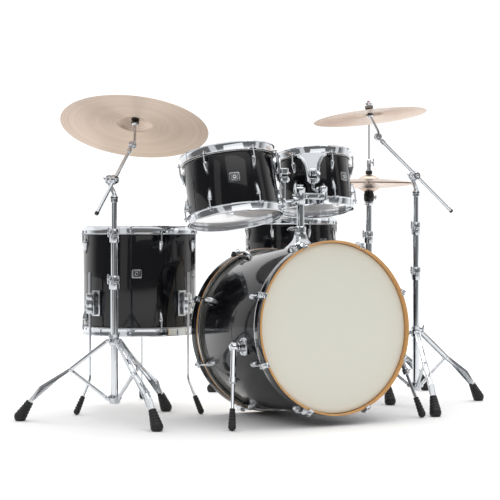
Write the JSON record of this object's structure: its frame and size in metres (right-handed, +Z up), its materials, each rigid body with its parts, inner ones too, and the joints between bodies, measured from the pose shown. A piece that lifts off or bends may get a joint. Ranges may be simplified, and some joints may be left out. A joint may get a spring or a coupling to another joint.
{
  "type": "acoustic drum kit",
  "caption": "Free-standing drum kit with a kick drum, rack and floor toms, a snare drum, a pedal hi-hat and boom-mounted cymbals on folding tripod stands.",
  "frame": {"origin": "on the floor under the middle of the whole kit", "axes": "+Z up, the kit faces -Y, the player sits at +Y, +X is to the right seen from the audience"},
  "size_m": [1.8113, 1.1817, 1.1067],
  "materials": {
    "lacquer": "gloss black lacquer over birch grain",
    "maple_hoop": "clear lacquered maple",
    "head_film": "satin polyester film",
    "chrome": "polished",
    "bronze": "lathed cymbal bronze",
    "rubber": "moulded black rubber",
    "felt": "pressed wool felt"
  },
  "bodies": {
    "kit": {"bass_drum_shell": "lacquer", "bass_drum_hoops": "maple_hoop", "bass_drum_heads": "head_film", "bass_drum_lugs": "chrome", "bass_drum_brackets": "chrome", "floor_tom_shell": "lacquer", "floor_tom_hoops": "chrome", "floor_tom_heads": "head_film", "floor_tom_lugs": "chrome", "boom_stand_tubes": "chrome", "snare_and_hihat_bases": "chrome"},
    "spur_right": {"spur_right": "chrome"},
    "spur_left": {"spur_left": "chrome"},
    "tom_post": {"tom_post": "chrome"},
    "large_tom_arm": {"large_tom_arm": "chrome"},
    "large_tom": {"large_tom_shell": "lacquer", "large_tom_hoops": "chrome", "large_tom_heads": "head_film", "large_tom_lugs": "chrome"},
    "small_tom_arm": {"small_tom_arm": "chrome"},
    "small_tom": {"small_tom_shell": "lacquer", "small_tom_hoops": "chrome", "small_tom_heads": "head_film", "small_tom_lugs": "chrome"},
    "floor_tom_leg_1": {"floor_tom_leg_1": "chrome"},
    "floor_tom_leg_2": {"floor_tom_leg_2": "chrome"},
    "floor_tom_leg_3": {"floor_tom_leg_3": "chrome"},
    "ride_top_tube": {"ride_top_tube": "chrome"},
    "ride_boom_arm": {"ride_boom_arm": "chrome"},
    "ride_tilter": {"ride_tilter": "chrome"},
    "ride_cymbal": {"ride_cymbal": "bronze"},
    "ride_strut_1": {"ride_strut_1": "chrome"},
    "ride_leg_1": {"ride_leg_1": "chrome"},
    "ride_strut_2": {"ride_strut_2": "chrome"},
    "ride_leg_2": {"ride_leg_2": "chrome"},
    "ride_strut_3": {"ride_strut_3": "chrome"},
    "ride_leg_3": {"ride_leg_3": "chrome"},
    "ride_collar": {"ride_collar": "chrome"},
    "crash_top_tube": {"crash_top_tube": "chrome"},
    "crash_boom_arm": {"crash_boom_arm": "chrome"},
    "crash_tilter": {"crash_tilter": "chrome"},
    "crash_cymbal": {"crash_cymbal": "bronze"},
    "crash_strut_1": {"crash_strut_1": "chrome"},
    "crash_leg_1": {"crash_leg_1": "chrome"},
    "crash_strut_2": {"crash_strut_2": "chrome"},
    "crash_leg_2": {"crash_leg_2": "chrome"},
    "crash_strut_3": {"crash_strut_3": "chrome"},
    "crash_leg_3": {"crash_leg_3": "chrome"},
    "crash_collar": {"crash_collar": "chrome"},
    "hihat_upper_tube": {"hihat_upper_tube": "chrome", "hihat_bottom_cymbal": "bronze"},
    "hihat_pull_rod": {"hihat_pull_rod": "chrome", "hihat_top_cymbal": "bronze"},
    "hihat_pedal": {"hihat_pedal": "chrome"},
    "snare_drum": {"snare_basket": "chrome", "snare_drum_shell": "lacquer", "snare_drum_hoops": "chrome", "snare_drum_heads": "head_film", "snare_drum_lugs": "chrome"},
    "snare_strainer_lever": {"snare_strainer_lever": "chrome"}
  },
  "joints": [
    {"name": "spur_right_fold", "type": "hinge", "parent": "kit", "child": "spur_right", "pos_m": [0.29245, -0.43592, 0.262], "axis": [1, 0, 0], "range_deg": [0, 105]},
    {"name": "spur_left_fold", "type": "hinge", "parent": "kit", "child": "spur_left", "pos_m": [-0.33755, -0.43592, 0.262], "axis": [1, 0, 0], "range_deg": [0, 105]},
    {"name": "tom_post_height", "type": "slide", "parent": "kit", "child": "tom_post", "axis": [0, 0, 1], "range_m": [-0.045, 0.045]},
    {"name": "large_tom_tilt", "type": "hinge", "parent": "tom_post", "child": "large_tom_arm", "pos_m": [-0.04655, -0.33692, 0.742], "axis": [-0.7964, -0.6048, 0], "range_deg": [-8, 8]},
    {"name": "large_tom_swivel", "type": "hinge", "parent": "large_tom_arm", "child": "large_tom", "pos_m": [-0.12555, -0.39692, 0.8], "axis": [0, 0, 1], "range_deg": [-5, 12]},
    {"name": "small_tom_tilt", "type": "hinge", "parent": "tom_post", "child": "small_tom_arm", "pos_m": [0.06945, -0.33292, 0.781], "axis": [-0.7208, 0.6931, 0], "range_deg": [-8, 8]},
    {"name": "small_tom_swivel", "type": "hinge", "parent": "small_tom_arm", "child": "small_tom", "pos_m": [0.04345, -0.30792, 0.8], "axis": [0, 0, 1], "range_deg": [-12, 12]},
    {"name": "floor_tom_leg_1_height", "type": "slide", "parent": "kit", "child": "floor_tom_leg_1", "axis": [0, 0, 1], "range_m": [-0.1, 0.1]},
    {"name": "floor_tom_leg_2_height", "type": "slide", "parent": "kit", "child": "floor_tom_leg_2", "axis": [0, 0, 1], "range_m": [-0.1, 0.1]},
    {"name": "floor_tom_leg_3_height", "type": "slide", "parent": "kit", "child": "floor_tom_leg_3", "axis": [0, 0, 1], "range_m": [-0.1, 0.1]},
    {"name": "ride_top_height", "type": "slide", "parent": "kit", "child": "ride_top_tube", "axis": [0, 0, 1], "range_m": [-0.06, 0.06]},
    {"name": "ride_boom_pitch", "type": "hinge", "parent": "ride_top_tube", "child": "ride_boom_arm", "pos_m": [-0.61055, -0.09492, 0.812], "axis": [-0.3773, 0.9261, 0], "range_deg": [-14, 5]},
    {"name": "ride_cymbal_tilt", "type": "hinge", "parent": "ride_boom_arm", "child": "ride_tilter", "pos_m": [-0.52755, -0.06092, 0.933], "axis": [0.3773, -0.9261, 0], "range_deg": [-10, 15]},
    {"name": "ride_cymbal_spin", "type": "hinge", "parent": "ride_tilter", "child": "ride_cymbal", "pos_m": [-0.50265, -0.03292, 1.0285], "axis": [0.2396, 0.2706, 0.9324], "continuous": true},
    {"name": "ride_strut_1_fold", "type": "hinge", "parent": "kit", "child": "ride_strut_1", "pos_m": [-0.63154, -0.08328, 0.075], "axis": [0.4848, 0.8746, 0], "range_deg": [0, 48]},
    {"name": "ride_leg_1_fold", "type": "hinge", "parent": "ride_strut_1", "child": "ride_leg_1", "pos_m": [-0.74044, -0.02292, 0.17228], "axis": [0.4848, 0.8746, 0], "range_deg": [-96, 0]},
    {"name": "ride_strut_2_fold", "type": "hinge", "parent": "kit", "child": "ride_strut_2", "pos_m": [-0.61013, -0.11892, 0.075], "axis": [-0.9998, -0.0175, 0], "range_deg": [0, 48]},
    {"name": "ride_leg_2_fold", "type": "hinge", "parent": "ride_strut_2", "child": "ride_leg_2", "pos_m": [-0.60796, -0.2434, 0.17228], "axis": [-0.9998, -0.0175, 0], "range_deg": [-96, 0]},
    {"name": "ride_strut_3_fold", "type": "hinge", "parent": "kit", "child": "ride_strut_3", "pos_m": [-0.58998, -0.08256, 0.075], "axis": [0.515, -0.8572, 0], "range_deg": [0, 48]},
    {"name": "ride_leg_3_fold", "type": "hinge", "parent": "ride_strut_3", "child": "ride_leg_3", "pos_m": [-0.48326, -0.01843, 0.17228], "axis": [0.515, -0.8572, 0], "range_deg": [-96, 0]},
    {"name": "ride_collar_slide", "type": "slide", "parent": "kit", "child": "ride_collar", "axis": [0, 0, 1], "range_m": [0, 0.12068]},
    {"name": "crash_top_height", "type": "slide", "parent": "kit", "child": "crash_top_tube", "axis": [0, 0, 1], "range_m": [-0.06, 0.06]},
    {"name": "crash_boom_pitch", "type": "hinge", "parent": "crash_top_tube", "child": "crash_boom_arm", "pos_m": [0.52945, -0.22892, 0.84], "axis": [-0.0378, -0.9993, 0], "range_deg": [-14, 8]},
    {"name": "crash_cymbal_tilt", "type": "hinge", "parent": "crash_boom_arm", "child": "crash_tilter", "pos_m": [0.36745, -0.22192, 0.978], "axis": [-0.0378, -0.9993, 0], "range_deg": [-15, 15]},
    {"name": "crash_cymbal_spin", "type": "hinge", "parent": "crash_tilter", "child": "crash_cymbal", "pos_m": [0.33575, -0.21362, 1.0764], "axis": [-0.059, 0.113, 0.9918], "continuous": true},
    {"name": "crash_strut_1_fold", "type": "hinge", "parent": "kit", "child": "crash_strut_1", "pos_m": [0.52019, -0.25106, 0.075], "axis": [-0.9225, 0.3859, 0], "range_deg": [0, 30]},
    {"name": "crash_leg_1_fold", "type": "hinge", "parent": "crash_strut_1", "child": "crash_leg_1", "pos_m": [0.47214, -0.36592, 0.17228], "axis": [-0.9225, 0.3859, 0], "range_deg": [-60, 0]},
    {"name": "crash_strut_2_fold", "type": "hinge", "parent": "kit", "child": "crash_strut_2", "pos_m": [0.55325, -0.22583, 0.075], "axis": [0.1288, -0.9917, 0], "range_deg": [0, 30]},
    {"name": "crash_leg_2_fold", "type": "hinge", "parent": "crash_strut_2", "child": "crash_leg_2", "pos_m": [0.67672, -0.20979, 0.17228], "axis": [0.1288, -0.9917, 0], "range_deg": [-60, 0]},
    {"name": "crash_strut_3_fold", "type": "hinge", "parent": "kit", "child": "crash_strut_3", "pos_m": [0.51491, -0.20983, 0.075], "axis": [0.7955, 0.606, 0], "range_deg": [0, 30]},
    {"name": "crash_leg_3_fold", "type": "hinge", "parent": "crash_strut_3", "child": "crash_leg_3", "pos_m": [0.43946, -0.11079, 0.17228], "axis": [0.7955, 0.606, 0], "range_deg": [-60, 0]},
    {"name": "crash_collar_slide", "type": "slide", "parent": "kit", "child": "crash_collar", "axis": [0, 0, 1], "range_m": [0, 0.07543]},
    {"name": "hihat_height", "type": "slide", "parent": "kit", "child": "hihat_upper_tube", "axis": [0, 0, 1], "range_m": [0, 0.06]},
    {"name": "hihat_pedal_press", "type": "hinge", "parent": "kit", "child": "hihat_pedal", "pos_m": [0.57645, 0.40408, 0.014], "axis": [1, 0, 0], "range_deg": [-5.5, 0]},
    {"name": "hihat_rod_lift", "type": "slide", "parent": "hihat_upper_tube", "child": "hihat_pull_rod", "axis": [0, 0, 1], "range_m": [0, 0.024]},
    {"name": "snare_height", "type": "slide", "parent": "kit", "child": "snare_drum", "axis": [0, 0, 1], "range_m": [-0.04, 0.06]},
    {"name": "snare_lever_throw", "type": "hinge", "parent": "snare_drum", "child": "snare_strainer_lever", "pos_m": [0.50587, 0.49401, 0.568], "axis": [-0.6428, 0.766, 0], "range_deg": [0, 80]}
  ],
  "couplings": [
    {"joint": "ride_leg_1_fold", "follows": "ride_strut_1_fold", "ratio": -2},
    {"joint": "ride_strut_2_fold", "follows": "ride_strut_1_fold", "ratio": 1},
    {"joint": "ride_leg_2_fold", "follows": "ride_strut_1_fold", "ratio": -2},
    {"joint": "ride_strut_3_fold", "follows": "ride_strut_1_fold", "ratio": 1},
    {"joint": "ride_leg_3_fold", "follows": "ride_strut_1_fold", "ratio": -2},
    {"joint": "ride_collar_slide", "follows": "ride_strut_1_fold", "m_per_rad": 0.14405},
    {"joint": "crash_leg_1_fold", "follows": "crash_strut_1_fold", "ratio": -2},
    {"joint": "crash_strut_2_fold", "follows": "crash_strut_1_fold", "ratio": 1},
    {"joint": "crash_leg_2_fold", "follows": "crash_strut_1_fold", "ratio": -2},
    {"joint": "crash_strut_3_fold", "follows": "crash_strut_1_fold", "ratio": 1},
    {"joint": "crash_leg_3_fold", "follows": "crash_strut_1_fold", "ratio": -2},
    {"joint": "crash_collar_slide", "follows": "crash_strut_1_fold", "m_per_rad": 0.14405},
    {"joint": "hihat_rod_lift", "follows": "hihat_pedal_press", "m_per_rad": -0.25}
  ]
}
